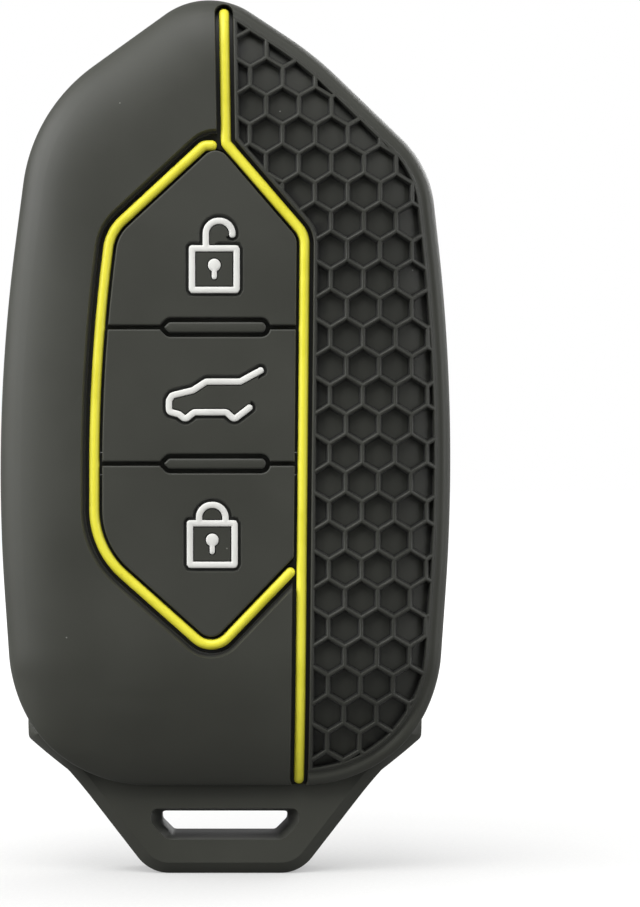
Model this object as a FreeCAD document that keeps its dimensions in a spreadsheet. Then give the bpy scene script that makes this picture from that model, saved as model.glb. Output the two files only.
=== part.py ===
# Silicone cover for a car key fob, standing on its key ring tab.
# Frame: +Z up along the cover, the front with the press pads faces -Y, +X is the viewer's right.
# The origin lies under the middle of the tab. Depths are measured inward from the flat of the front.
import FreeCAD
import Part
import Sketcher
import math
import os
from FreeCAD import Placement, Rotation, Vector

# Driving sizes in millimetres. Heights (_z) are measured from the lower edge of the skins.
SIZES = {
    # shells
    "cover_depth": 18.0,
    "sleeve_foot": 9.0,
    "side_wall": 2.2,
    "front_wall": 2.5,
    "rear_wall": 2.0,
    "rear_lip": 7.0,
    "front_edge_round": 3.5,
    "rear_edge_round": 3.5,
    "foot_fall": 3.0,
    "foot_fall_height": 14.0,
    "toe_height": 9.0,
    "toe_wall": 5.5,
    # outline of the shells
    "peak_x": -1.75,
    "peak_z": 79.55,
    "peak_round": 7.5,
    "brow_x": 8.85,
    "brow_z": 72.55,
    "brow_round": 34.0,
    "right_shoulder_x": 20.33,
    "right_shoulder_z": 61.5,
    "right_shoulder_round": 10.4,
    "right_waist_x": 23.13,
    "left_shoulder_x": -19.08,
    "left_shoulder_z": 67.08,
    "left_shoulder_round": 17.0,
    "left_waist_x": -23.07,
    "waist_z": 36.4,
    "waist_reach": 17.5,
    "foot_half_width": 20.55,
    "foot_round": 13.8,
    # key ring tab
    "tab_thickness": 8.0,
    "tab_base_width": 15.0,
    "tab_base_round": 4.0,
    "tab_edge_round": 1.2,
    "neck_half_width": 15.6,
    "neck_rise": 1.45,
    "neck_round": 1.5,
    "ear_half_width": 19.5,
    "ear_rise": 4.75,
    "ear_round": 0.6,
    "ear_top_half_width": 19.6,
    "ear_top_rise": 9.0,
    "ear_thickness": 13.0,
    "slot_width": 12.7,
    "slot_height": 2.5,
    "slot_round": 0.4,
    "slot_corner": 1.2,
    "slot_z": 3.6,
    # keypad outline, along the middle of the accent lines
    "keypad_top_x": -0.77,
    "keypad_top_z": 64.47,
    "keypad_right_x": 7.84,
    "keypad_right_z": 54.47,
    "keypad_right_foot_z": 22.45,
    "keypad_foot_x": -1.25,
    "keypad_foot_z": 13.3,
    "keypad_left_foot_x": -12.86,
    "keypad_left_foot_z": 23.6,
    "keypad_left_foot_round": 8.5,
    "keypad_left_waist_x": -12.86,
    "keypad_left_waist_z": 42.1,
    "keypad_left_waist_reach": 10.5,
    "keypad_left_x": -11.29,
    "keypad_left_z": 54.75,
    "keypad_tip_round": 2.2,
    "keypad_side_round": 4.5,
    "keypad_right_round": 2.5,
    # accent lines
    "accent_width": 1.0,
    "accent_front": 0.3,
    "groove_margin": 0.4,
    "groove_floor": 1.3,
    "basin_margin": 1.3,
    "basin_floor": 0.6,
    "long_line_top_x": -0.1,
    "long_line_top_z": 76.45,
    "long_line_bend_x": 0.1,
    "long_line_bend_round": 0.3,
    "long_line_foot_x": 7.35,
    "long_line_foot_z": 0.6,
    "ring_start_x": -1.3,
    "ring_start_z": 63.25,
    "ring_start_round": 0.6,
    "ring_end_x": 6.4,
    # press pads
    "pad_front": 0.25,
    "pad_gap": 0.3,
    "pad_lip_back": 1.15,
    "pad_back": 2.4,
    "ledge_overhang": 0.25,
    "flange_front": 1.95,
    "flange_reach": 1.1,
    "flange_gap": 0.3,
    "pad_travel": 0.6,
    "pad_stop_gap": 0.1,
    "press_foot_radius": 2.5,
    "press_foot_height": 0.6,
    # dividers between the pads
    "upper_divider_z": 45.35,
    "lower_divider_z": 31.95,
    "divider_gap": 0.42,
    "divider_bar_x": -1.0,
    "divider_bar_length": 10.0,
    "divider_bar_height": 1.0,
    "divider_bar_gap": 0.45,
    "divider_rib_height": 2.2,
    "divider_rib_gap": 0.1,
    # honeycomb panel
    "panel_front": 0.1,
    "panel_back": 1.25,
    "panel_rim": 1.4,
    "panel_gap": 0.5,
    "panel_frame": 0.35,
    "cell_floor": 0.95,
    "cell_pitch": 3.22,
    "cell_row_pitch": 2.85,
    "cell_row_lean": 0.019,
    "cell_rib": 0.36,
    "cell_origin_x": 10.4,
    "cell_origin_z": 52.93,
    # pictograms
    "icon_front": 0.2,
    "icon_back": 0.6,
    "icon_margin": 0.2,
    "icon_stroke": 0.62,
    "padlock_width": 5.0,
    "padlock_height": 4.7,
    "unlock_x": -1.05,
    "unlock_z": 51.05,
    "lock_x": -1.25,
    "lock_z": 24.05,
    "shackle_width": 2.6,
    "shackle_rise": 1.8,
    "shackle_lift": 0.9,
    "shackle_shift": 0.47,
    "shackle_free_leg": 1.34,
    "keyhole_radius": 0.62,
    "keyhole_rise": 0.4,
    "keyhole_stem_width": 0.5,
    "keyhole_stem_length": 1.4,
    "tailgate_x": -1.0,
    "tailgate_z": 38.65,
    "tailgate_grid": 0.5,
}

# Car with its tailgate up, drawn from the tip of the tailgate over the roof and bonnet
# to the rear bumper, counted in steps of the pictogram grid.
TAILGATE_STEPS = [
    (9.0, 4.9), (5.0, 2.7), (-1.7, 2.7), (-4.3, 1.0), (-8.4, 0.0), (-9.0, -1.0), (-9.0, -3.2),
    (-7.0, -3.7), (-5.8, -4.7), (-4.1, -3.3), (2.3, -3.3), (3.8, -4.7), (6.8, -2.4),
]

# Cells clipped by the panel's frame to less than this area are left solid.
SMALLEST_CELL_AREA = 0.5


class Size:
    """A length with its present value and the sheet formula that gives it."""

    def __init__(self, value, formula):
        self.value = value
        self.formula = formula

    def joined(self, other, sign, value):
        return Size(value, f"({self.formula} {sign} {as_size(other).formula})")

    def __add__(self, other):
        return self.joined(other, "+", self.value + as_size(other).value)

    def __sub__(self, other):
        return self.joined(other, "-", self.value - as_size(other).value)

    def __mul__(self, other):
        return self.joined(other, "*", self.value * as_size(other).value)

    def __truediv__(self, other):
        return self.joined(other, "/", self.value / as_size(other).value)

    def __neg__(self):
        return Size(-self.value, f"(0 - {self.formula})")


class Reach(Size):
    """A corner's rounding given by how far its arc reaches along both sides."""


def as_size(number):
    return number if isinstance(number, Size) else Size(float(number), repr(float(number)))


def size(alias):
    """The sheet's size of that name."""
    return Size(float(sheet.get(alias)), f"Sizes.{alias}")


def reach_size(alias):
    """The sheet's size of that name, as the reach of a corner's arc."""
    return Reach(size(alias).value, size(alias).formula)


def height(alias):
    """A height measured from the lower edge of the skins, taken to the frame's Z."""
    return size("sleeve_foot") + size(alias)


def depth(amount):
    """The Y of a depth measured inward from the flat of the front."""
    return as_size(amount) - size("cover_depth") / 2


def bind(item, **sizes):
    """Tie properties of a document object to sheet formulas."""
    for prop, amount in sizes.items():
        item.setExpression(prop, as_size(amount).formula)


def place(item, x, y, z):
    for axis, amount in zip("xyz", (x, y, z)):
        item.setExpression(f"Placement.Base.{axis}", as_size(amount).formula)


FRONT_PLANE = Placement(Vector(0, 0, 0), Rotation(Vector(1, 0, 0), 90))


def fix_point(sketch, point, corner):
    """Pin a point of a sketch to the formulas of a corner."""
    for kind, amount in zip(("DistanceX", "DistanceY"), corner):
        row = sketch.addConstraint(Sketcher.Constraint(kind, -1, 1, *point, amount.value))
        sketch.setExpression(f"Constraints[{row}]", amount.formula)


def draw(sketch, corners, closed=True):
    """Draw straight sides between corners (x, z, round); a corner without a round stays sharp."""
    corners = [tuple(as_size(part) for part in corner) for corner in corners]
    spots = [Vector(corner[0].value, corner[1].value, 0) for corner in corners]
    count = len(corners)
    arcs = {}
    starts = list(spots)
    ends = list(spots)
    for i, corner in enumerate(corners):
        if len(corner) < 3:
            continue
        back = (spots[i - 1] - spots[i]).normalize()
        ahead = (spots[(i + 1) % count] - spots[i]).normalize()
        half = math.acos(back.dot(ahead)) / 2
        reach = corner[2].value
        if not isinstance(corner[2], Reach):
            reach = corner[2].value / math.tan(half)
        radius = reach * math.tan(half)
        ends[i] = spots[i] + back * reach
        starts[i] = spots[i] + ahead * reach
        inward = (back + ahead).normalize()
        middle = spots[i] + inward * (radius / math.sin(half) - radius)
        arcs[i] = sketch.addGeometry(Part.Arc(ends[i], middle, starts[i]))
    sides = [
        sketch.addGeometry(Part.LineSegment(starts[i], ends[(i + 1) % count]))
        for i in range(count if closed else count - 1)
    ]
    for i, corner in enumerate(corners):
        before = sides[i - 1] if closed or i > 0 else None
        after = sides[i] if i < len(sides) else None
        if i not in arcs:
            fix_point(sketch, (before, 2) if after is None else (after, 1), corner)
            if before is not None and after is not None:
                sketch.addConstraint(Sketcher.Constraint("Coincident", before, 2, after, 1))
            continue
        vertex = sketch.addGeometry(Part.Point(spots[i]), True)
        fix_point(sketch, (vertex, 1), corner)
        turns_left = (spots[i] - spots[i - 1]).cross(spots[(i + 1) % count] - spots[i]).z > 0
        first, last = (1, 2) if turns_left else (2, 1)
        sketch.addConstraint(Sketcher.Constraint("PointOnObject", vertex, 1, before))
        sketch.addConstraint(Sketcher.Constraint("PointOnObject", vertex, 1, after))
        sketch.addConstraint(Sketcher.Constraint("Tangent", before, 2, arcs[i], first))
        sketch.addConstraint(Sketcher.Constraint("Tangent", arcs[i], last, after, 1))
        held = ("Radius", arcs[i])
        if isinstance(corner[2], Reach):
            held = ("Distance", vertex, 1, arcs[i], first)
        row = sketch.addConstraint(Sketcher.Constraint(*held, corner[2].value))
        sketch.setExpression(f"Constraints[{row}]", corner[2].formula)
    return sketch


def outline(name, corners, closed=True):
    """A sketch on the front plane, shared by several pieces."""
    sketch = doc.addObject("Sketcher::SketchObject", name)
    sketch.Placement = FRONT_PLANE
    return draw(sketch, corners, closed)


def grown(name, source, amount):
    """An outline grown outward, or inward where the amount is negative."""
    result = doc.addObject("Part::Offset2D", name)
    result.Source = source
    bind(result, Value=amount)
    return result


def stroke(name, path, width):
    """The outline of a line of a given width with round ends along a path."""
    result = grown(name, path, width / 2)
    result.Fill = True
    return result


def prism(name, profile, front, back):
    """An outline carried straight through the cover from one depth to another."""
    result = doc.addObject("Part::Extrusion", name)
    result.Base = profile
    result.DirMode = "Custom"
    result.Dir = Vector(0, 1, 0)
    result.Solid = True
    bind(result, LengthFwd=depth(back), LengthRev=-depth(front))
    return result


def block(name, x, z, width, tall, front, back):
    """A block centred on x and z between two depths."""
    result = doc.addObject("Part::Box", name)
    bind(result, Length=width, Width=as_size(back) - front, Height=tall)
    place(result, x - as_size(width) / 2, depth(front), z - as_size(tall) / 2)
    return result


def disc(name, x, z, radius, front, back):
    """A round plug centred on x and z between two depths."""
    result = doc.addObject("Part::Cylinder", name)
    result.Placement = Placement(Vector(0, 0, 0), Rotation(Vector(1, 0, 0), -90))
    bind(result, Radius=radius, Height=as_size(back) - front)
    place(result, x, depth(front), z)
    return result


def pair(kind, name, base, tool):
    result = doc.addObject(kind, name)
    result.Base = base
    result.Tool = tool
    result.Refine = True
    return result


def shared(name, base, tool):
    return pair("Part::Common", name, base, tool)


def fused(name, *pieces):
    result = doc.addObject("Part::MultiFuse", name)
    result.Shapes = list(pieces)
    result.Refine = True
    return result


def cut(name, base, *tools):
    for number, tool in enumerate(tools):
        base = pair("Part::Cut", f"{name}_{number}", base, tool)
    return base


def sunk(name, form, amount):
    """A copy of the front form moved inward, whose face marks that depth under the skin."""
    result = doc.addObject("Part::Compound", name)
    result.Links = [form]
    bind(result, **{"Placement.Base.y": amount})
    return result


def body_sketch(body, name, plane, corners):
    sketch = body.newObject("Sketcher::SketchObject", name)
    origin = next(item for item in body.Origin.OriginFeatures if item.Role == plane)
    sketch.AttachmentSupport = [(origin, "")]
    sketch.MapMode = "FlatFace"
    return draw(sketch, corners)


def pad_feature(body, name, sketch, length, reversed_side=False):
    feature = body.newObject("PartDesign::Pad", name)
    feature.Profile = sketch
    feature.Reversed = reversed_side
    bind(feature, Length=length)
    return feature


def rounded_edges(body, name, feature, radius, chosen):
    """Round the edges of a feature that the test chooses by their bounds."""
    doc.recompute()
    names = [f"Edge{i + 1}" for i, edge in enumerate(feature.Shape.Edges) if chosen(edge.BoundBox)]
    result = body.newObject("PartDesign::Fillet", name)
    result.Base = (feature, names)
    bind(result, Radius=radius)
    return result


def half_form(name, reversed_side, edge_round):
    """One half of the cover's outer form, from the parting plane to the front or the rear."""
    body = doc.addObject("PartDesign::Body", name)
    sketch = body_sketch(body, f"{name}_outline", "XZ_Plane", COVER_CORNERS)
    raised = pad_feature(body, f"{name}_pad", sketch, size("cover_depth") / 2, reversed_side)
    far = size("cover_depth").value / 2 * (1 if reversed_side else -1)
    rounded_edges(
        body, f"{name}_round", raised, edge_round,
        lambda box: abs(box.YMin - far) < 1e-4 and abs(box.YMax - far) < 1e-4,
    )
    return body


def band(name, low, high, front, back):
    """A block across the whole cover between two heights."""
    width = size("foot_half_width") * 4
    return block(name, as_size(0), (low + high) / 2, width, high - low, front, back)


def padlock(name, x, z, lift, icon_margin, front, back):
    """Frame and shackle of a padlock; a lifted shackle stands off and its right leg ends short."""
    stroke_width = size("icon_stroke")
    wide = size("padlock_width")
    tall = size("padlock_height")
    outer = block(f"{name}_outer", x, z, wide + icon_margin * 2, tall + icon_margin * 2, front, back)
    inner_trim = stroke_width * 2 + icon_margin * 2
    inner = block(f"{name}_inner", x, z, wide - inner_trim, tall - inner_trim, front, back)
    frame = pair("Part::Cut", f"{name}_frame", outer, inner)
    centre = x + size("shackle_shift") if lift.value > 0 else x
    left = centre - size("shackle_width") / 2
    right = centre + size("shackle_width") / 2
    foot = z + tall / 2 - stroke_width / 2
    top = foot + size("shackle_rise") + lift
    bend = size("shackle_width") * 0.45
    free_end = top - size("shackle_free_leg") if lift.value > 0 else foot
    path = outline(
        f"{name}_path", [(left, foot), (left, top, bend), (right, top, bend), (right, free_end)], False
    )
    line = stroke(f"{name}_line", path, stroke_width + icon_margin * 2)
    return fused(f"{name}_icon_form", frame, prism(f"{name}_shackle", line, front, back))


def keyhole(name, x, z, icon_margin, front, back):
    eye = z + size("keyhole_rise")
    stem = size("keyhole_stem_length") + icon_margin
    dot = disc(f"{name}_dot", x, eye, size("keyhole_radius") + icon_margin, front, back)
    width = size("keyhole_stem_width") + icon_margin * 2
    bar = block(f"{name}_stem", x, eye - stem / 2, width, stem, front, back)
    return fused(f"{name}_keyhole_form", dot, bar)


def tailgate(name, icon_margin, front, back):
    grid = size("tailgate_grid")
    corners = [
        (size("tailgate_x") + grid * across, height("tailgate_z") + grid * up)
        for across, up in TAILGATE_STEPS
    ]
    path = outline(f"{name}_path", corners, False)
    line = stroke(f"{name}_line", path, size("icon_stroke") + icon_margin * 2)
    return prism(f"{name}_icon_form", line, front, back)


def press_pad(name, low, high, recesses, bars):
    """One press pad: face, core and the flange that holds it behind the ledge."""
    gap = size("divider_gap") / 2
    clear = size("divider_rib_height") / 2 + size("divider_rib_gap")
    beyond = size("basin_margin")
    face_low = low + gap if low is not None else height("keypad_foot_z") - beyond
    face_high = high - gap if high is not None else height("keypad_top_z") + beyond
    core_low = low + clear if low is not None else face_low
    core_high = high - clear if high is not None else face_high
    whole = (as_size(-1), size("cover_depth") / 2)
    face = shared(f"{name}_face", pad_face, band(f"{name}_face_band", face_low, face_high, *whole))
    core_band = band(f"{name}_core_band", core_low, core_high, *whole)
    core = shared(f"{name}_core", pad_core, core_band)
    flange = shared(f"{name}_flange", pad_flange, core_band)
    middle = (core_low + core_high) / 2
    if low is None:
        middle = height("lock_z")
    if high is None:
        middle = height("unlock_z")
    foot_back = size("pad_back") + size("press_foot_height")
    foot = disc(
        f"{name}_foot", size("divider_bar_x"), middle, size("press_foot_radius"),
        size("pad_lip_back"), foot_back,
    )
    return cut(f"{name}_cut", fused(f"{name}_form", face, core, flange, foot), *bars, *recesses)


def bar_outline(name, z):
    """The outline of a divider bar: a round right end and a left end that runs to a point."""
    x = size("divider_bar_x")
    long_half = size("divider_bar_length") / 2
    tall_half = size("divider_bar_height") / 2
    bend = size("divider_bar_height") * 0.45
    return outline(f"{name}_bar_line", [
        (x + long_half, z + tall_half, bend),
        (x + long_half, z - tall_half, bend),
        (x - long_half + tall_half, z - tall_half),
        (x - long_half, z),
        (x - long_half + tall_half, z + tall_half),
    ])


def divider(name, z):
    """A raised bar on a cross rib that is seated behind the ledge at both ends."""
    bar = prism(f"{name}_bar", bar_outline(name, z), size("pad_front"), size("front_wall"))
    half = size("divider_rib_height") / 2
    strip = band(f"{name}_strip", z - half, z + half, as_size(-1), size("cover_depth") / 2)
    return fused(f"{name}_form", bar, shared(f"{name}_rib", rib_field, strip))


def honeycomb_cells(field, pitch, row_step, lean, rib, origin):
    """Six-sided cells, points up, over the whole field; each as the face of its opening.
    Rows set wider than in an even honeycomb stretch the cells, and each row leans sideways."""
    box = field.BoundBox
    across = (pitch - rib) / math.sqrt(3)
    upward = across * row_step / (pitch * math.sqrt(3) / 2)
    angles = [math.radians(30 + 60 * k) for k in range(7)]
    faces = []
    lowest = math.floor((box.ZMin - origin.z) / row_step)
    highest = math.ceil((box.ZMax - origin.z) / row_step)
    for row in range(lowest, highest + 1):
        shift = row * lean + (pitch / 2 if row % 2 else 0.0)
        first = math.floor((box.XMin - origin.x - shift) / pitch)
        last = math.ceil((box.XMax - origin.x - shift) / pitch)
        for column in range(first, last + 1):
            centre = Vector(origin.x + shift + column * pitch, 0, origin.z + row * row_step)
            ring = [centre + Vector(across * math.cos(a), 0, upward * math.sin(a)) for a in angles]
            faces.append(Part.Face(Part.makePolygon(ring)))
    return Part.makeCompound(faces)


doc = FreeCAD.newDocument("KeyFobCover")
sheet = doc.addObject("Spreadsheet::Sheet", "Sizes")
for row, (alias, amount) in enumerate(SIZES.items(), start=1):
    sheet.set(f"A{row}", alias)
    sheet.set(f"B{row}", str(amount))
    sheet.setAlias(f"B{row}", alias)
doc.recompute()

# Outline that both shells share, clockwise from the peak
foot_z = size("sleeve_foot")
waist_reach = reach_size("waist_reach")
COVER_CORNERS = [
    (size("peak_x"), height("peak_z"), size("peak_round")),
    (size("brow_x"), height("brow_z"), size("brow_round")),
    (size("right_shoulder_x"), height("right_shoulder_z"), size("right_shoulder_round")),
    (size("right_waist_x"), height("waist_z"), waist_reach),
    (size("foot_half_width"), foot_z, size("foot_round")),
    (-size("foot_half_width"), foot_z, size("foot_round")),
    (size("left_waist_x"), height("waist_z"), waist_reach),
    (size("left_shoulder_x"), height("left_shoulder_z"), size("left_shoulder_round")),
]
cover_line = outline("cover_line", COVER_CORNERS)
full_front = half_form("full_front", False, size("front_edge_round"))
rear_form = half_form("rear_form", True, size("rear_edge_round"))
rear_face = size("cover_depth")
ahead = as_size(-1)
half_way = size("cover_depth") / 2

# Towards the foot the front falls away along an arc that starts level
foot_fall = size("foot_fall")
fall_height = size("foot_fall_height")
fall_radius = (fall_height * fall_height + foot_fall * foot_fall) / (foot_fall * 2)
fall_arc = doc.addObject("Part::Cylinder", "fall_arc")
fall_arc.Placement = Placement(Vector(0, 0, 0), Rotation(Vector(0, 1, 0), 90))
bind(fall_arc, Radius=fall_radius, Height=size("foot_half_width") * 6)
place(fall_arc, -size("foot_half_width") * 3, depth(fall_radius), foot_z + fall_height)
fall_block = band("fall_block", foot_z - 1, foot_z + fall_height, ahead, half_way)
front_form = cut("front_form", full_front, cut("fall_wedge", fall_block, fall_arc))

# Keypad outline along the middle of the accent lines
right_x = size("keypad_right_x")
right_z = height("keypad_right_z")
long_foot_x = size("long_line_foot_x")
long_foot_z = height("long_line_foot_z")
fall = (long_foot_x - right_x) / (right_z - long_foot_z)
right_foot_z = height("keypad_right_foot_z")
right_foot_x = right_x + fall * (right_z - right_foot_z)
top_x = size("keypad_top_x")
top_z = height("keypad_top_z")
tip = size("keypad_tip_round")
left = (size("keypad_left_x"), height("keypad_left_z"), size("keypad_side_round"))
left_waist = (
    size("keypad_left_waist_x"), height("keypad_left_waist_z"), reach_size("keypad_left_waist_reach")
)
left_foot = (
    size("keypad_left_foot_x"), height("keypad_left_foot_z"), size("keypad_left_foot_round")
)
bottom = (size("keypad_foot_x"), height("keypad_foot_z"), tip)
keypad_line = outline("keypad_line", [
    (top_x, top_z, tip),
    (right_x, right_z, size("keypad_right_round")),
    (right_foot_x, right_foot_z, tip / 2),
    bottom,
    left_foot,
    left_waist,
    left,
])

# Long accent line: down from the peak, along the keypad's right side and on to the lower edge
bend_x = size("long_line_bend_x")
bend_z = top_z - (bend_x - top_x) * (top_z - right_z) / (right_x - top_x)
long_top = (size("long_line_top_x"), height("long_line_top_z"))
long_path = outline("long_path", [
    long_top,
    (bend_x, bend_z, size("long_line_bend_round")),
    (right_x, right_z, size("keypad_right_round")),
    (long_foot_x, long_foot_z),
], False)

# Ring accent line: level from beside the long line, round the left side, to just short of that line
start_x = size("ring_start_x")
end_x = size("ring_end_x")
start_z = height("ring_start_z")
turn_x = top_x - (top_z - start_z) * (top_x - left[0]) / (top_z - left[1])
ring_path = outline("ring_path", [
    (start_x, start_z),
    (turn_x, start_z, size("ring_start_round")),
    left,
    left_waist,
    left_foot,
    bottom,
    (end_x, bottom[1] + (end_x - bottom[0]) * (right_foot_z - bottom[1]) / (right_foot_x - bottom[0])),
], False)

# Depths under the rolled front, each marked by a sunk copy of the front form
at_accent = sunk("at_accent", front_form, size("accent_front"))
at_groove = sunk("at_groove", front_form, size("groove_floor"))
at_panel = sunk("at_panel", front_form, size("panel_front"))
at_cells = sunk("at_cells", front_form, size("cell_floor"))
at_seat = sunk("at_seat", front_form, size("panel_back"))

# Grooves, basin and openings of the front; a pressed pad's lip stops just short of the ribs
ledge_back = size("pad_lip_back") + size("pad_travel") + size("pad_stop_gap")
accent = size("accent_width")
groove_width = accent + size("groove_margin") * 2
long_groove = stroke("long_groove", long_path, groove_width)
long_groove_cut = cut("long_groove_cut", prism("long_groove_deep", long_groove, ahead, half_way), at_groove)
ring_groove = stroke("ring_groove", ring_path, groove_width)
ring_groove_cut = prism("ring_groove_cut", ring_groove, ahead, size("groove_floor"))
basin_line = grown("basin_line", keypad_line, size("basin_margin"))
basin_cut = prism("basin_cut", basin_line, ahead, size("basin_floor"))
pad_inset = accent / 2 + size("pad_gap")
hole_line = grown("hole_line", keypad_line, size("ledge_overhang") - pad_inset)
hole_cut = prism("hole_cut", hole_line, ahead, size("front_wall"))
flange_line = grown("flange_line", keypad_line, size("flange_reach") - pad_inset)
rebate_line = grown("rebate_line", keypad_line, size("flange_reach") + size("flange_gap") - pad_inset)
rebate_cut = prism("rebate_cut", rebate_line, ledge_back, half_way)

# Honeycomb panel: everything right of the long line, inside the rim
far_x = size("foot_half_width") * 3
right_side = outline("right_side", [
    (long_top[0], long_top[1] + size("peak_round") * 2),
    (bend_x, bend_z),
    (right_x, right_z),
    (long_foot_x, long_foot_z),
    (long_foot_x, -foot_z),
    (far_x, -foot_z),
    (far_x, long_top[1] + size("peak_round") * 2),
])


def right_field(name, inset, front, back):
    """The part of the front right of the long line, drawn in from the outline."""
    inside = prism(f"{name}_inside", grown(f"{name}_line", cover_line, -inset), front, back)
    return shared(name, inside, prism(f"{name}_side", right_side, front, back))


rim = size("panel_rim")
frame = size("panel_frame")
seat_cut = cut("seat_cut", right_field("seat_field", rim - size("panel_gap"), ahead, half_way), at_seat)
plate_field = right_field("plate_field", rim, ahead, half_way)
plate_back = cut("plate_back", shared("plate_front", plate_field, at_panel), at_seat)
plate = cut("plate", plate_back, prism("long_groove_side", long_groove, ahead, half_way))
cell_field = right_field("cell_field", rim + frame, ahead, half_way)
frame_line = stroke("frame_line", long_path, groove_width + frame * 2)
cell_room = cut("cell_room", cell_field, prism("frame_side", frame_line, ahead, half_way), at_cells)
doc.recompute()
cells = doc.addObject("Part::Feature", "cells")
cell_faces = honeycomb_cells(
    cell_room.Shape, size("cell_pitch").value, size("cell_row_pitch").value,
    size("cell_row_lean").value, size("cell_rib").value,
    Vector(size("cell_origin_x").value, 0, height("cell_origin_z").value),
)
cover_depth = size("cover_depth").value
cell_faces.translate(Vector(0, -cover_depth, 0))
cell_columns = cell_faces.extrude(Vector(0, cover_depth, 0))
least_volume = SMALLEST_CELL_AREA * size("cell_floor").value
clipped = cell_columns.common(cell_room.Shape)
cells.Shape = Part.makeCompound([cell for cell in clipped.Solids if cell.Volume > least_volume])
honeycomb_panel = cut("honeycomb", plate, cells)

# Shells
inner_line = grown("inner_line", cover_line, -size("side_wall"))
full_room = prism("full_room", inner_line, size("front_wall"), rear_face - size("rear_wall"))
toe = band("toe", foot_z, foot_z + size("toe_height"), ahead, size("toe_wall"))
room = cut("room", full_room, toe)
window_line = grown("window_line", cover_line, -size("rear_lip"))
window_cut = prism("window_cut", window_line, half_way, rear_face + 1)
front_skin = cut(
    "front_shell", front_form, room, basin_cut, ring_groove_cut, long_groove_cut, seat_cut,
    hole_cut, rebate_cut,
)
rear_skin = cut("rear_shell", rear_form, room, window_cut)

# Accent lines lie on the floors of their grooves
long_strip = prism("long_strip", stroke("long_stroke", long_path, accent), ahead, half_way)
long_accent_line = cut("long_accent", shared("long_accent_front", long_strip, at_accent), at_groove)
ring_accent_line = prism(
    "ring_accent", stroke("ring_stroke", ring_path, accent), size("accent_front"), size("groove_floor")
)

# Key ring tab: ears at both lower corners of the skins and the slotted tab below them
tab_body = doc.addObject("PartDesign::Body", "tab_body")
tab_half = size("tab_base_width") / 2
right_edge = [
    (size("ear_top_half_width"), foot_z + size("ear_top_rise")),
    (size("ear_half_width"), foot_z + size("ear_rise"), size("ear_round")),
    (size("neck_half_width"), foot_z + size("neck_rise"), size("neck_round")),
    (tab_half, as_size(0), size("tab_base_round")),
]
left_edge = [(-corner[0], *corner[1:]) for corner in reversed(right_edge)]
tab_sketch = body_sketch(tab_body, "tab_outline", "XZ_Plane", right_edge + left_edge)
tab_pad = pad_feature(tab_body, "tab_pad", tab_sketch, size("tab_thickness"))
tab_pad.SideType = "Symmetric"
slot_half = size("slot_width") / 2
slot_low = size("slot_z")
slot_high = slot_low + size("slot_height")
slot_round = size("slot_round")
slot_corner = size("slot_corner")
right_slot = [
    (slot_half, slot_high, slot_round),
    (slot_half, slot_low + slot_corner, slot_round),
    (slot_half - slot_corner, slot_low, slot_round),
]
left_slot = [(-corner[0], *corner[1:]) for corner in reversed(right_slot)]
slot_sketch = body_sketch(tab_body, "slot_outline", "XZ_Plane", right_slot + left_slot)
slot_pocket = tab_body.newObject("PartDesign::Pocket", "slot_pocket")
slot_pocket.Profile = slot_sketch
slot_pocket.Type = "ThroughAll"
slot_pocket.SideType = "Symmetric"
tab_front = size("tab_thickness").value / 2
rounded_edges(
    tab_body, "tab_round", slot_pocket, size("tab_edge_round"),
    lambda box: abs(abs(box.YMin) - tab_front) < 1e-4 and abs(box.ZMin) + abs(box.ZMax) < 1e-4,
)
inner_x = size("neck_half_width")
right_ear = [*right_edge[:2], right_edge[2][:2], (inner_x, right_edge[0][1])]
ear_sketch = body_sketch(tab_body, "ear_outline", "XZ_Plane", right_ear)
draw(ear_sketch, [(-corner[0], *corner[1:]) for corner in right_ear])
ear_pad = pad_feature(tab_body, "ear_pad", ear_sketch, size("ear_thickness"))
ear_pad.SideType = "Symmetric"
cover_block = prism("cover_block", cover_line, ahead, rear_face + 1)
keyring_tab = cut("tab_trim", tab_body, cover_block)

# Press pads with their pictograms, and the dividers between them
pad_line = grown("pad_line", keypad_line, -pad_inset)
pad_face = prism("pad_face", pad_line, size("pad_front"), size("pad_lip_back"))
pad_core = prism("pad_core", pad_line, size("pad_lip_back"), size("pad_back"))
pad_flange = prism("pad_flange", flange_line, size("flange_front"), size("pad_back"))
rib_field = prism("rib_field", flange_line, ledge_back, size("front_wall"))
upper_z = height("upper_divider_z")
lower_z = height("lower_divider_z")
icon_depths = (size("icon_front"), size("icon_back"))
recess_depths = (ahead, size("icon_back"))
none = as_size(0)
margin = size("icon_margin")
lift = size("shackle_lift")
unlock_spot = (size("unlock_x"), height("unlock_z"))
lock_spot = (size("lock_x"), height("lock_z"))


def bar_clearance(name, z):
    around = grown(f"{name}_line", bar_outline(name, z), size("divider_bar_gap"))
    return prism(f"{name}_room", around, ahead, half_way)


upper_room = bar_clearance("upper_clear", upper_z)
lower_room = bar_clearance("lower_clear", lower_z)
unlock_recesses = [
    padlock("unlock_recess", *unlock_spot, lift, margin, *recess_depths),
    keyhole("unlock_hollow", *unlock_spot, margin, *recess_depths),
]
lock_recesses = [
    padlock("lock_recess", *lock_spot, none, margin, *recess_depths),
    keyhole("lock_hollow", *lock_spot, margin, *recess_depths),
]
tailgate_recess = tailgate("tailgate_recess", margin, *recess_depths)

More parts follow.
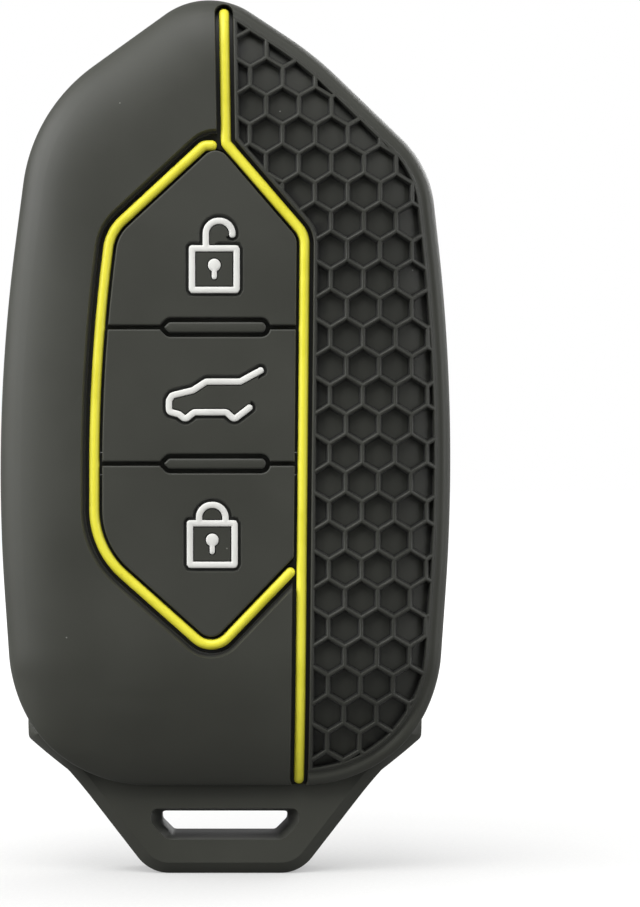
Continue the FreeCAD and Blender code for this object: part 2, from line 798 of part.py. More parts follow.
NODES = {
    "front_skin": front_skin,
    "rear_skin": rear_skin,
    "keyring_tab": keyring_tab,
    "honeycomb_panel": honeycomb_panel,
    "long_accent_line": long_accent_line,
    "ring_accent_line": ring_accent_line,
    "unlock_pad": press_pad("unlock", upper_z, None, unlock_recesses, [upper_room]),
    "tailgate_pad": press_pad("tailgate", lower_z, upper_z, [tailgate_recess], [upper_room, lower_room]),
    "lock_pad": press_pad("lock", None, lower_z, lock_recesses, [lower_room]),
    "upper_divider": divider("upper", upper_z),
    "lower_divider": divider("lower", lower_z),
    "unlock_icon": padlock("unlock_sign", *unlock_spot, lift, none, *icon_depths),
    "unlock_keyhole": keyhole("unlock_eye", *unlock_spot, none, *icon_depths),
    "tailgate_icon": tailgate("tailgate_sign", none, *icon_depths),
    "lock_icon": padlock("lock_sign", *lock_spot, none, none, *icon_depths),
    "lock_keyhole": keyhole("lock_eye", *lock_spot, none, *icon_depths),
}
doc.recompute()

for item in doc.Objects:
    if "Invalid" in item.State or "Error" in item.State:
        raise RuntimeError(f"{item.Name} did not build: {item.State}")
os.makedirs("parts", exist_ok=True)
for name, item in NODES.items():
    item.Label = name
    shape = item.Shape
    if shape.isNull() or not shape.isValid() or len(shape.Solids) != 1:
        raise RuntimeError(f"{name} is not one valid solid")
    shape.Solids[0].exportStep(f"parts/{name}.step")
    box = shape.optimalBoundingBox()
    print(name, f"{shape.Volume:.1f} mm3", f"x {box.XMin:.2f} {box.XMax:.2f}",
          f"y {box.YMin:.2f} {box.YMax:.2f}", f"z {box.ZMin:.2f} {box.ZMax:.2f}")
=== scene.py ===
import math

import bpy
import numpy as np
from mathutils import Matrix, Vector
from mathutils.geometry import delaunay_2d_cdt


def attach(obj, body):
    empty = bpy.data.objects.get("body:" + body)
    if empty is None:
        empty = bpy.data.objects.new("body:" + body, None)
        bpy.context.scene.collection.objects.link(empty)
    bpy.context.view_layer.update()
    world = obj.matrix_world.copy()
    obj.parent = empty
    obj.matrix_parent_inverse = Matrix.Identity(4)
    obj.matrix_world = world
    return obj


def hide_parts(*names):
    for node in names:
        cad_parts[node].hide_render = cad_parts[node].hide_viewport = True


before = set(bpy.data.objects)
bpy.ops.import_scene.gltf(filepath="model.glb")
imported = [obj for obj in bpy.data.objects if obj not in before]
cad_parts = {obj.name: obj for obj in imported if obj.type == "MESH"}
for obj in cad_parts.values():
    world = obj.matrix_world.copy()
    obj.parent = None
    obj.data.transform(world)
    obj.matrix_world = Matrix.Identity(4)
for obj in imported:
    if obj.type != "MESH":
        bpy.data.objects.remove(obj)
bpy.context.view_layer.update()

# Silicone key cover. Plans are drawn in millimetres on the front plane: x to the viewer's right, z up.
# Depths run along y, from the front flat at -FRONT to the rear flat at +FRONT.
MM = 0.001

# Cover
FRONT = 9.0
FOOT = 9.0
ROLL_WIDTH = 8.0
ROLL_DEPTH = 3.6
FOOT_FALL = 3.0
FOOT_ROLL_LEFT = 0.25
FOOT_ROLL_TOP = 20.0
FOOT_ROLL_RUN = 8.0
FOOT_FALL_TOP = 23.0
FOOT_FALL_RUN = 14.0
SIDE_WALL = 2.2
FRONT_WALL = 2.5
LEAST_WALL = 0.5
REAR_WALL = 2.0
REAR_LIP = 7.0
REAR_ROLL_WIDTH = 6.0
REAR_ROLL_DEPTH = 4.5
REAR_LEAST_WALL = 0.6
LIP_ROUND = 0.9
LIP_FALL = 0.6
LIP_INNER_ROUND = 0.4
LIP_INNER_FALL = 0.3
SEAM_WIDTH = 0.12
SEAM_DEPTH = 0.07
TOE_TOP = FOOT + 9.0
TOE_WALL = 5.5
PLAN_LOW = (-24.0, 8.0)
PLAN_HIGH = (24.0, 87.0)

# Triangles thinner than a sliver are dropped, points closer than a weld become one
SLIVER = 0.0002
WELD = 1e-5
BACK_WELD = 1e-6
BLOCK = 2_000_000

# Accent lines, basin, pads and dividers
ACCENT_HALF = 0.5
ACCENT_CROWN = 0.45
ACCENT_FRONT = 0.3
GROOVE_HALF = 0.9
GROOVE_EDGE = 0.1
GROOVE_FLOOR = 1.3
BASIN_REACH = 1.3
BASIN_SPREAD = 0.02
BASIN_BEVEL = 0.25
BASIN_FLOOR = 0.6
HOLE_INSET = 0.55
PAD_INSET = 0.8
PAD_FRONT = 0.25
PAD_BACK = 2.4
PAD_EDGE = 0.16
PAD_EDGE_FALL = 0.14
FORM_OVERLAP = 0.1
FLANGE_REACH = 0.3
FLANGE_FRONT = 1.95
RIB_FRONT = 1.85
RIB_HALF = 1.1
REBATE_REACH = 0.6
PRESS_FOOT_RADIUS = 2.5
PRESS_FOOT_BACK = 3.0
PRESS_FOOT_EDGE = 0.3
RIB_GAP = 0.015
DIVIDER_GAP_HALF = 0.21
UPPER_DIVIDER = FOOT + 45.35
LOWER_DIVIDER = FOOT + 31.95
BAR_X = -1.0
BAR_HALF_LENGTH = 5.0
BAR_HALF_HEIGHT = 0.5
BAR_GAP = 0.45
BAR_END_ROUND = 0.45
BAR_SHOULDER_ROUND = 0.3
BAR_POINT_ROUND = 0.12
BAR_EDGE = 0.2
BAR_EDGE_FALL = 0.16
KEYPAD_LOW = (-14.0, 20.0)
KEYPAD_HIGH = (10.0, 74.0)
RIB_LEFT = -16.0
RIB_RIGHT = 12.0

# Honeycomb
PANEL_FRONT = 0.1
PANEL_BACK = 1.25
PANEL_RIM = 1.4
VALLEY_RIM = 0.5
VALLEY_DEPTH = 0.4
PANEL_FRAME = 0.35
CELL_PITCH = 3.22
CELL_ROW_PITCH = 2.85
CELL_ROW_LEAN = 0.019
CELL_STRETCH = CELL_ROW_PITCH / (CELL_PITCH * math.sqrt(3) / 2)
CELL_CROWN = 0.12
CELL_RIB = 0.36
CELL_FLOOR = 0.95
CELL_WALL = 0.14
CELL_CREASE = 0.12
# share of the cells' painted shade that their floors keep
CELL_FLOOR_SHARE = 0.05
CELL_ORIGIN = (10.4, FOOT + 52.93)
CELL_COLUMNS = (-5, 5)
CELL_ROWS = (-21, 12)
CELL_REACH = 1.0

# Signs
ICON_FRONT = 0.2
ICON_BACK = 0.6
ICON_CROWN = 0.1
ICON_HALF = 0.31
ICON_MARGIN = 0.3
ICON_MARGIN_SOFT = 0.24
ICON_INNER_MARGIN = 0.08
ICON_INNER_SOFT = 0.1
ICON_STEPS = (0.5, 0.42, 0.34, 0.26, 0.18, 0.13, 0.08, 0.03)
PADLOCK_WIDTH = 5.0
PADLOCK_HEIGHT = 4.7
PADLOCK_ROUND = 0.04
UNLOCK_SPOT = (-1.05, FOOT + 51.05)
LOCK_SPOT = (-1.25, FOOT + 24.05)
SHACKLE_WIDTH = 2.6
SHACKLE_RISE = 1.8
SHACKLE_LIFT = 0.9
SHACKLE_SHIFT = 0.47
SHACKLE_FREE_LEG = 1.34
KEYHOLE_RISE = 0.4
KEYHOLE_RADIUS = 0.62
KEYHOLE_STEM = 1.4
KEYHOLE_STEM_HALF = 0.25
TAILGATE_CENTRE = (-1.0, FOOT + 38.65)
TAILGATE_GRID = 0.5
TAILGATE_ROUND = 0.33
TAILGATE_STEPS = [
    (9.0, 4.9), (5.0, 2.7), (-1.7, 2.7), (-4.3, 1.0), (-8.4, 0.0), (-9.0, -1.0), (-9.0, -3.2),
    (-7.0, -3.7), (-5.8, -4.7), (-4.1, -3.3), (2.3, -3.3), (3.8, -4.7), (6.8, -2.4),
]

# Key ring tab
TAB_FRONT = 4.0
TAB_EDGE = 1.15
TAB_BEVEL = 0.9
TAB_BEVEL_POWER = 1.15
EAR_REACH = 3.5
EAR_START = 12.0
EAR_RUN = 4.5
SLOT_FALL = 2.0
SLOT_FALL_POWER = 0.75
SLOT_BACK_ROUND = 0.3


def unit(vectors):
    return vectors / np.maximum(np.linalg.norm(vectors, axis=-1, keepdims=True), 1e-9)


def evenly(path, step, closed):
    """The same path with points every step: x and z interpolated over the length run so far."""
    if closed:
        path = np.vstack([path, path[:1]])
    along = np.concatenate([[0.0], np.cumsum(np.linalg.norm(np.diff(path, axis=0), axis=1))])
    marks = np.linspace(0.0, along[-1], max(int(round(along[-1] / step)), 2) + 1)
    even = np.stack([np.interp(marks, along, path[:, axis]) for axis in (0, 1)], 1)
    return even[:-1] if closed else even


def rounded(corners, closed=True, step=0.25):
    """Straight sides between corners (x, z, r). Each corner gives way to an arc of radius r that
    touches both its sides; its middle lies on the corner's bisector at r / sin(half angle)."""
    spots = np.array([corner[:2] for corner in corners], float)
    radii = np.array([corner[2] if len(corner) > 2 else 0.0 for corner in corners])
    back = unit(np.roll(spots, 1, 0) - spots)
    ahead = unit(np.roll(spots, -1, 0) - spots)
    half = np.maximum(np.arccos(np.clip((back * ahead).sum(1), -1, 1)) / 2, 1e-3)
    middle = spots + unit(back + ahead) * (radii / np.sin(half))[:, None]
    first = spots + back * (radii / np.tan(half))[:, None] - middle
    turn = np.sign(back[:, 1] * ahead[:, 0] - back[:, 0] * ahead[:, 1]) * (math.pi - 2 * half)
    angles = np.arctan2(first[:, 1], first[:, 0])[:, None] + turn[:, None] * np.linspace(0, 1, 33)
    arcs = middle[:, None] + radii[:, None, None] * np.stack([np.cos(angles), np.sin(angles)], -1)
    path = arcs.reshape(-1, 2)
    if closed:
        ahead_x, ahead_z = np.roll(path, -1, 0).T
        if (path[:, 0] * ahead_z - path[:, 1] * ahead_x).sum() < 0:
            path = path[::-1]
    return evenly(path, step, closed)


def sideways(path, closed):
    """Unit normals to the left of a path, from the run between each point's neighbours."""
    run = np.roll(path, -1, 0) - np.roll(path, 1, 0) if closed else np.gradient(path, axis=0)
    run = unit(run)
    return np.stack([-run[:, 1], run[:, 0]], 1)


def inset(loop, amount):
    """A counter-clockwise loop moved inward along its normals."""
    return loop + sideways(loop, True) * amount


def around(path, half):
    """The loop at a set distance from an open path: right side, half circle, left side, half circle."""
    normal = sideways(path, False) * half
    sweep = np.linspace(0, math.pi, 13)[1:-1, None]
    tip, tail = -normal[-1], normal[0]
    turned = lambda arm: arm * np.cos(sweep) + np.array([-arm[1], arm[0]]) * np.sin(sweep)
    return np.vstack([path - normal, path[-1] + turned(tip), (path + normal)[::-1], path[0] + turned(tail)])


def distance(points, path, closed):
    """Distance of every point from the nearest stretch of a path, a block of points at a time."""
    begin = path if closed else path[:-1]
    run = (np.roll(path, -1, 0) if closed else path[1:])[: len(begin)] - begin
    square = np.maximum((run**2).sum(1), 1e-12)
    blocks = []
    for block in np.array_split(points, max(len(points) * len(begin) // BLOCK, 1)):
        arm = block[:, None] - begin
        share = np.clip((arm * run).sum(2) / square, 0, 1)
        blocks.append(np.sqrt(((arm - share[:, :, None] * run) ** 2).sum(2).min(1)))
    return np.concatenate(blocks)


def inside(points, loop):
    """Whether a ray to the right of each point crosses the loop an odd number of times."""
    x0, z0 = loop.T
    x1, z1 = np.roll(loop, -1, 0).T
    slope = (x1 - x0) / np.where(z1 == z0, 1e-12, z1 - z0)
    blocks = []
    for block in np.array_split(points, max(len(points) * len(loop) // BLOCK, 1)):
        x, z = block[:, :1], block[:, 1:]
        crossed = ((z0 > z) != (z1 > z)) & (x < x0 + (z - z0) * slope)
        blocks.append(crossed.sum(1) % 2 == 1)
    return np.concatenate(blocks)


def within(points, loop):
    """Distance inside a loop, negative outside it."""
    return distance(points, loop, True) * np.where(inside(points, loop), 1, -1)


def ease(share):
    """A soft step from 0 to 1: 3 t^2 - 2 t^3."""
    share = np.clip(share, 0, 1)
    return share * share * (3 - 2 * share)


def quarter(gap, width, drop):
    """Fall of a quarter ellipse over an edge: drop at the edge itself, nothing from width inward."""
    share = np.clip(1 - gap / width, 0, 1)
    return drop * (1 - np.sqrt(1 - share * share))


def grid_points(low, high, spacing):
    """A staggered grid of plan points over a box."""
    xs = np.arange(low[0], high[0], spacing)
    zs = np.arange(low[1], high[1], spacing * 0.866)
    x, z = np.meshgrid(xs, zs)
    x = x + (np.arange(len(zs)) % 2)[:, None] * spacing / 2
    return np.column_stack([x.ravel(), z.ravel()])


def level(z, left, right):
    """A level straight path across the plan."""
    return np.array([(left, z), (right, z)])


def twice_area(corners):
    """Twice the signed area of plan triangles, positive counter-clockwise."""
    sides = corners[:, 1:] - corners[:, :1]
    return sides[:, 0, 0] * sides[:, 1, 1] - sides[:, 0, 1] * sides[:, 1, 0]


def woven(loops, keep, paths=(), points=None):
    """A plan triangulated between its own lines. Loops and open paths stay edges of the triangles,
    lines that cross are cut at the crossing, and triangles whose middle fails keep, or that are mere
    slivers along a straight edge, are left out."""
    lines = [(loop, True) for loop in loops] + [(path, False) for path in paths]
    spots = [line for line, _ in lines] + ([points] if points is not None else [])
    edges = []
    start = 0
    for line, closed in lines:
        order = np.arange(len(line))
        pairs = np.column_stack([order, np.roll(order, -1)]) + start
        edges.append(pairs if closed else pairs[:-1])
        start += len(line)
    found = delaunay_2d_cdt(np.vstack(spots).tolist(), np.vstack(edges).tolist(), [], 0, WELD)
    plan = np.array([spot[:] for spot in found[0]])
    triangles = np.array(found[2])
    area = twice_area(plan[triangles])
    triangles = np.where(area[:, None] < 0, triangles[:, ::-1], triangles)
    corners = plan[triangles]
    longest = np.linalg.norm(corners - np.roll(corners, 1, 1), axis=2).max(1)
    triangles = triangles[(np.abs(area) > longest * SLIVER) & keep(corners.mean(1))]
    used, flat = np.unique(triangles, return_inverse=True)
    return plan[used], flat.reshape(-1, 3)


def open_edges(triangles):
    """Edges that belong to one triangle only, in that triangle's direction."""
    sides = np.concatenate([triangles[:, [0, 1]], triangles[:, [1, 2]], triangles[:, [2, 0]]])
    _, first, count = np.unique(np.sort(sides, 1), axis=0, return_index=True, return_counts=True)
    return sides[first[count == 1]]


def plate(plan, triangles, front, back, plain_back=False):
    """A closed form over a plan: one face at depth front, one at depth back, joined by walls along
    every open edge. A plain back is triangulated between the open edges alone."""
    count = len(plan)
    rim = open_edges(triangles)
    faces = [np.column_stack([plan[:, 0], y * np.ones(count), plan[:, 1]]) for y in (front, back)]
    walls = np.column_stack([rim[:, 0], rim[:, 0] + count, rim[:, 1] + count, rim[:, 1]])
    behind = triangles[:, ::-1]
    if plain_back:
        spots, places = np.unique(rim, return_inverse=True)
        edges = places.reshape(-1, 2).tolist()
        found = delaunay_2d_cdt(plan[spots].tolist(), edges, [], 2, BACK_WELD)
        behind = np.array([face for face in found[2] if len(face) == 3])
        area = twice_area(plan[spots][behind])
        behind = spots[np.where(area[:, None] > 0, behind[:, ::-1], behind)]
    return np.vstack(faces), np.vstack([triangles, behind + count]), walls


def piece(name, forms, material, body, angle=32, sunk=None):
    """One object from closed forms, shaded smooth up to an angle, riding on its body. Points that no
    face uses are left out; sunk gives each point its share of the hollow colour's painted shade."""
    starts = np.cumsum([0] + [len(form[0]) for form in forms])
    triangles = np.vstack([form[1] + start for form, start in zip(forms, starts)])
    quads = np.vstack([form[2] + start for form, start in zip(forms, starts)])
    used, corners = np.unique(np.concatenate([triangles.ravel(), quads.ravel()]), return_inverse=True)
    first = np.concatenate([np.arange(len(triangles)) * 3, triangles.size + np.arange(len(quads)) * 4])
    mesh = bpy.data.meshes.new(name)
    mesh.vertices.add(len(used))
    mesh.vertices.foreach_set("co", (np.vstack([form[0] for form in forms])[used] * MM).ravel())
    mesh.loops.add(len(corners))
    mesh.loops.foreach_set("vertex_index", corners.astype(np.int32))
    mesh.polygons.add(len(first))
    mesh.polygons.foreach_set("loop_start", first.astype(np.int32))
    mesh.update(calc_edges=True)
    if sunk is not None:
        mesh.attributes.new("sunk", "FLOAT", "POINT").data.foreach_set("value", sunk[used])
    mesh.shade_smooth()
    mesh.set_sharp_from_angle(angle=math.radians(angle))
    mesh.materials.append(material)
    item = bpy.data.objects.new(f"{name}_look", mesh)
    bpy.context.scene.collection.objects.link(item)
    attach(item, body)
    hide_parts(name)
    return item


# Finishes: sizes in millimetres, the lint's radius as a share of its spacing
SILICONE_IOR = 1.42
BLOOM_SIZE = 14.0
LINT_SPACING = 2.6
LINT_RADIUS = 0.026
LINT_SHARE = 0.16
LINT_COVER = 0.6
LINT_COLOUR = "#8d8d88"
THIN_SIZE = 3.5
GRIME_SIZE = 0.8


def linear(code):
    """An sRGB hex colour as linear light."""
    share = np.array([int(code[i : i + 2], 16) for i in (1, 3, 5)]) / 255
    return (*np.where(share <= 0.04045, share / 12.92, ((share + 0.055) / 1.055) ** 2.4).tolist(), 1.0)


def add_node(tree, kind, settings=None, **links):
    """Add a node, set its properties, and give each input a value or a link from another node. An
    input goes by its name, or as i0, i1 and so on by its number."""
    node = tree.nodes.new(kind)
    for key, value in (settings or {}).items():
        setattr(node, key, value)
    for key, value in links.items():
        by_number = key[0] == "i" and key[1:].isdigit()
        socket = node.inputs[int(key[1:]) if by_number else key.replace("_", " ")]
        if isinstance(value, bpy.types.NodeSocket):
            tree.links.new(value, socket)
        else:
            socket.default_value = value
    return node


def new_material(name):
    material = bpy.data.materials.new(name)
    material.use_nodes = True
    material.node_tree.nodes.clear()
    return material, material.node_tree


def ramp(tree, source, *stops):
    """A colour ramp over stops of (place, colour)."""
    node = add_node(tree, "ShaderNodeValToRGB", Fac=source)
    while len(node.color_ramp.elements) < len(stops):
        node.color_ramp.elements.new(1.0)
    for element, (place, colour) in zip(node.color_ramp.elements, stops):
        element.position = place
        element.color = colour
    return node.outputs["Color"]


def per_mm(size_mm):
    """Noise scale, in cycles per metre, for a feature of that size."""
    return 1000.0 / size_mm


def noise(tree, place, size_mm, detail=2.0):
    """Noise whose features have that size."""
    node = add_node(tree, "ShaderNodeTexNoise", Vector=place, Scale=per_mm(size_mm), Detail=detail)
    return node.outputs["Fac"]


def maths(tree, operation, first, second):
    """Two values joined by one operation."""
    return add_node(tree, "ShaderNodeMath", {"operation": operation}, i0=first, i1=second).outputs[0]


def remap(tree, value, low, high, to_low, to_high):
    """A value carried from one range to another and held at both ends."""
    node = add_node(tree, "ShaderNodeMapRange", Value=value, i1=low, i2=high, i3=to_low, i4=to_high)
    return node.outputs[0]


def blend(tree, share, under, over):
    """A mix of two colours: under where the share is 0, over where it is 1."""
    node = add_node(tree, "ShaderNodeMix", {"data_type": "RGBA"}, i0=share, i6=under, i7=over)
    return node.outputs[2]


def moulded(tree, place, colour, roughness, grain_mm, strength, depth_mm, **sheen):
    """The ending that all silicone shares: the mould's grain as a bump, the shader and the output."""
    grain = noise(tree, place, grain_mm)
    bump = add_node(tree, "ShaderNodeBump", Strength=strength, Distance=depth_mm * MM, Height=grain)
    skin = add_node(
        tree, "ShaderNodeBsdfPrincipled", Base_Color=colour, Roughness=roughness,
        IOR=SILICONE_IOR, Normal=bump.outputs[0], **sheen,
    )
    add_node(tree, "ShaderNodeOutputMaterial", Surface=skin.outputs[0])


def silicone(name, dark, pale, roughness, hollow=None):
    """Moulded silicone rubber: a dull even black with a faint bloom of skin oil and dust, a grain as
    fine as sprayed paint, and a few pale specks of lint that cling to it. A darker hollow colour
    takes over by the mesh's sunk share: painted shade in grooves, hollows and cell walls."""
    material, tree = new_material(name)
    place = add_node(tree, "ShaderNodeTexCoord").outputs["Object"]
    cloud = noise(tree, place, BLOOM_SIZE, 3.0)
    colour = ramp(tree, cloud, (0.35, linear(dark)), (0.65, linear(pale)))
    # painted shade: the hollow colour darkens each point by its sunk share
    if hollow is not None:
        painted_shade = add_node(tree, "ShaderNodeAttribute", {"attribute_name": "sunk"}).outputs["Fac"]
        colour = blend(tree, painted_shade, colour, linear(hollow))
    dust = add_node(tree, "ShaderNodeTexVoronoi", Vector=place, Scale=per_mm(LINT_SPACING), Randomness=1.0)
    near = maths(tree, "LESS_THAN", dust.outputs["Distance"], LINT_RADIUS)
    pick = add_node(tree, "ShaderNodeSeparateColor", Color=dust.outputs["Color"]).outputs["Red"]
    speck = maths(tree, "MULTIPLY", near, maths(tree, "LESS_THAN", pick, LINT_SHARE))
    colour = blend(tree, maths(tree, "MULTIPLY", speck, LINT_COVER), colour, linear(LINT_COLOUR))
    dull = remap(tree, cloud, 0.3, 0.7, roughness - 0.04, roughness + 0.05)
    moulded(tree, place, colour, dull, 0.16, 0.10, 0.04, Sheen_Weight=0.06, Sheen_Roughness=0.5)
    return material


def inlay(name, shade, pale, grime, roughness):
    """Dyed silicone poured into a groove: even and satin, a little thinner in places, soft all over."""
    material, tree = new_material(name)
    place = add_node(tree, "ShaderNodeTexCoord").outputs["Object"]
    cloud = noise(tree, place, THIN_SIZE, 3.0)
    tint = ramp(tree, cloud, (0.25, linear(shade)), (0.55, linear(pale)))
    wisp = noise(tree, place, GRIME_SIZE, 4.0)
    worn = remap(tree, wisp, 0.66, 0.78, 0.0, 0.35)
    moulded(tree, place, blend(tree, worn, tint, linear(grime)), roughness, 0.2, 0.08, 0.03)
    return material


black = silicone("black silicone, moulded matt", "#2b2c26", "#31322c", 0.52)
# The last colour of each of these two is painted shade for grooves, hollows and cell walls
black_with_painted_shade = silicone("black silicone, moulded with grooves", "#2b2c26", "#31322c", 0.52, "#141512")
black_panel_painted_shade = silicone("black silicone, moulded honeycomb, painted shade in cells", "#23241f", "#292a24", 0.54, "#0c0d0b")
yellow = inlay("yellow silicone, filled groove", "#cfc82c", "#dcd53c", "#aca32a", 0.42)
white = inlay("white silicone, filled sign", "#c2c2be", "#cdcdc9", "#a0a09a", 0.45)

# Plans that several pieces share: corners are (x, z, round), the cover's z counts from the foot
cover_corners = [
    (-1.75, 79.55, 7.5), (8.85, 72.55, 34.0), (20.33, 61.5, 10.4), (23.13, 36.4, 191.9),
    (20.55, 0.0, 13.8), (-20.55, 0.0, 13.8), (-23.07, 36.4, 175.8), (-19.08, 67.08, 17.0),
]
cover_line = rounded([(x, z + FOOT, r) for x, z, r in cover_corners])
right_top = (7.84, FOOT + 54.47)
long_foot = (7.35, FOOT + 0.6)
right_foot_z = FOOT + 22.45
right_foot_x = np.interp(right_foot_z, [long_foot[1], right_top[1]], [long_foot[0], right_top[0]])
top = (-0.77, FOOT + 64.47)
bottom = (-1.25, FOOT + 13.3, 2.2)
left_foot = (-12.86, FOOT + 23.6, 8.5)
left_waist = (-12.86, FOOT + 42.1, 169.9)
left_top = (-11.29, FOOT + 54.75, 4.5)
keypad_line = rounded([
    (*top, 2.2), (*right_top, 2.5), (right_foot_x, right_foot_z, 1.1),
    bottom, left_foot, left_waist, left_top,
])
bend = (0.1, np.interp(0.1, [top[0], right_top[0]], [top[1], right_top[1]]))
long_path = rounded([(-0.1, FOOT + 76.45), (*bend, 0.3), (*right_top, 2.5), long_foot], False)
ring_start = (-1.3, FOOT + 63.25)
ring_turn = (np.interp(ring_start[1], [left_top[1], top[1]], [left_top[0], top[0]]), ring_start[1], 0.6)
ring_end = (6.4, np.interp(6.4, [bottom[0], right_foot_x], [bottom[1], right_foot_z]))
ring_path = rounded([ring_start, ring_turn, left_top, left_waist, left_foot, bottom, ring_end], False)


def right_of_line(plan):
    """How far right of the long line a point lies, along x."""
    order = np.argsort(long_path[:, 1])
    return plan[:, 0] - np.interp(plan[:, 1], long_path[order, 1], long_path[order, 0])


def front_face(plan):
    """Depth of the smooth front: flat, rolled over the edge by a quarter ellipse, and falling away
    towards the foot by the square of the height left, where the roll fades out."""
    fade = 1 - (1 - FOOT_ROLL_LEFT) * ease((FOOT_ROLL_TOP - plan[:, 1]) / FOOT_ROLL_RUN)
    rolled = quarter(within(plan, cover_line), ROLL_WIDTH, ROLL_DEPTH) * fade
    low = np.clip((FOOT_FALL_TOP - plan[:, 1]) / FOOT_FALL_RUN, 0, None)
    return -FRONT + rolled + FOOT_FALL * low**2


def soft_step(gap, width):
    """0 where gap is negative, 1 from width on, softly between."""
    return ease(gap / width)


def build_front_skin():
    """Front skin. Depth = smooth front + the deepest of basin, grooves and panel seat, each a soft
    step of the distance from its line; the inner face leaves walls of the set thickness."""
    keep = lambda plan: inside(plan, cover_line) & ~inside(plan, inset(keypad_line, HOLE_INSET))
    roll_steps = [
        0, 0.05, 0.16, 0.34, 0.5, 0.65, 0.8, 0.95, 1.1, 1.25, 1.4, 1.44, 1.46, 1.6, 2.15, 2.25,
        3.0, 4.0, 5.3, 6.8,
    ]
    keypad_steps = [
        1.7, 1.36, 1.32, 1.26, 1.18, 1.11, 1.07, 0.97, 0.95, 0.92, 0.88, 0.85, 0.8,
        REBATE_REACH + 0.02, REBATE_REACH - 0.02, -HOLE_INSET, 0.08 - HOLE_INSET,
    ]
    groove_steps = (1.0, 0.95, 0.92, 0.88, 0.85)
    loops = [inset(cover_line, gap) for gap in roll_steps]
    loops += [inset(keypad_line, -gap) for gap in keypad_steps]
    loops += [around(long_path, half) for half in groove_steps]
    points = grid_points(PLAN_LOW, PLAN_HIGH, 1.5)
    free = (within(points, cover_line) > 7.4) & (within(points, keypad_line) < -2.2)
    free &= distance(points, long_path, False) > 1.5
    toe = [level(z, PLAN_LOW[0], PLAN_HIGH[0]) for z in (TOE_TOP - 0.05, TOE_TOP + 0.05)]
    plan, triangles = woven(loops, keep, toe, points[free])
    edge = within(plan, cover_line)
    key = -within(plan, keypad_line)
    line = distance(plan, long_path, False)
    basin = BASIN_FLOOR * soft_step(BASIN_REACH + BASIN_SPREAD - key, BASIN_BEVEL)
    groove_gap = GROOVE_HALF + GROOVE_EDGE / 2 - np.minimum(np.abs(key), line)
    groove = np.where(key < 0, GROOVE_FLOOR, GROOVE_FLOOR * soft_step(groove_gap, GROOVE_EDGE))
    valley = VALLEY_DEPTH * soft_step(edge - VALLEY_RIM, PANEL_RIM - VALLEY_RIM)
    seat = np.where(edge > PANEL_RIM + 0.05, PANEL_BACK, valley) * (right_of_line(plan) > 0)
    sunk = np.maximum(basin, groove)
    front = front_face(plan) + np.maximum(sunk, seat)
    wall = np.where(plan[:, 1] < TOE_TOP, TOE_WALL, FRONT_WALL)
    hollow = -FRONT + np.where(key < REBATE_REACH, RIB_FRONT, wall)
    hollow = np.maximum(hollow, front + LEAST_WALL)
    seam = -SEAM_DEPTH * soft_step(SEAM_WIDTH - edge, SEAM_WIDTH)
    form = plate(plan, triangles, front, np.where(edge < SIDE_WALL, seam, hollow))
    # painted shade: the basin and grooves take the hollow colour by their depth
    share = np.concatenate([np.clip(sunk / BASIN_FLOOR, 0, 1), np.zeros(len(plan))])
    piece("front_skin", [form], black_with_painted_shade, "cover", 32, share)


def build_rear_skin():
    """Rear skin: the same outline with an elliptic roll behind, a hollow inside the wall and a wide
    opening whose lip is rounded off."""
    window = inset(cover_line, REAR_LIP)
    keep = lambda plan: inside(plan, cover_line) & ~inside(plan, window)
    steps = (0, 0.05, 0.16, 0.34, 0.6, 0.9, 1.3, 1.8, 2.15, 2.25, 3.0, 4.0, 5.2, 6.4, 6.9, REAR_LIP)
    plan, triangles = woven([inset(cover_line, gap) for gap in steps], keep)
    edge = within(plan, cover_line)
    lip = REAR_LIP - edge
    back = FRONT - quarter(edge, REAR_ROLL_WIDTH, REAR_ROLL_DEPTH) - quarter(lip, LIP_ROUND, LIP_FALL)
    hollow = FRONT - REAR_WALL + quarter(lip, LIP_INNER_ROUND, LIP_INNER_FALL)
    hollow = np.minimum(hollow, back - REAR_LEAST_WALL)
    seam = SEAM_DEPTH * soft_step(SEAM_WIDTH - edge, SEAM_WIDTH)
    form = plate(plan, triangles, np.where(edge < SIDE_WALL, seam, hollow), back)
    piece("rear_skin", [form], black, "cover")


def mirrored(half):
    """A closed outline from its right half, top to bottom."""
    return half + [(-x, *rest) for x, *rest in reversed(half)]


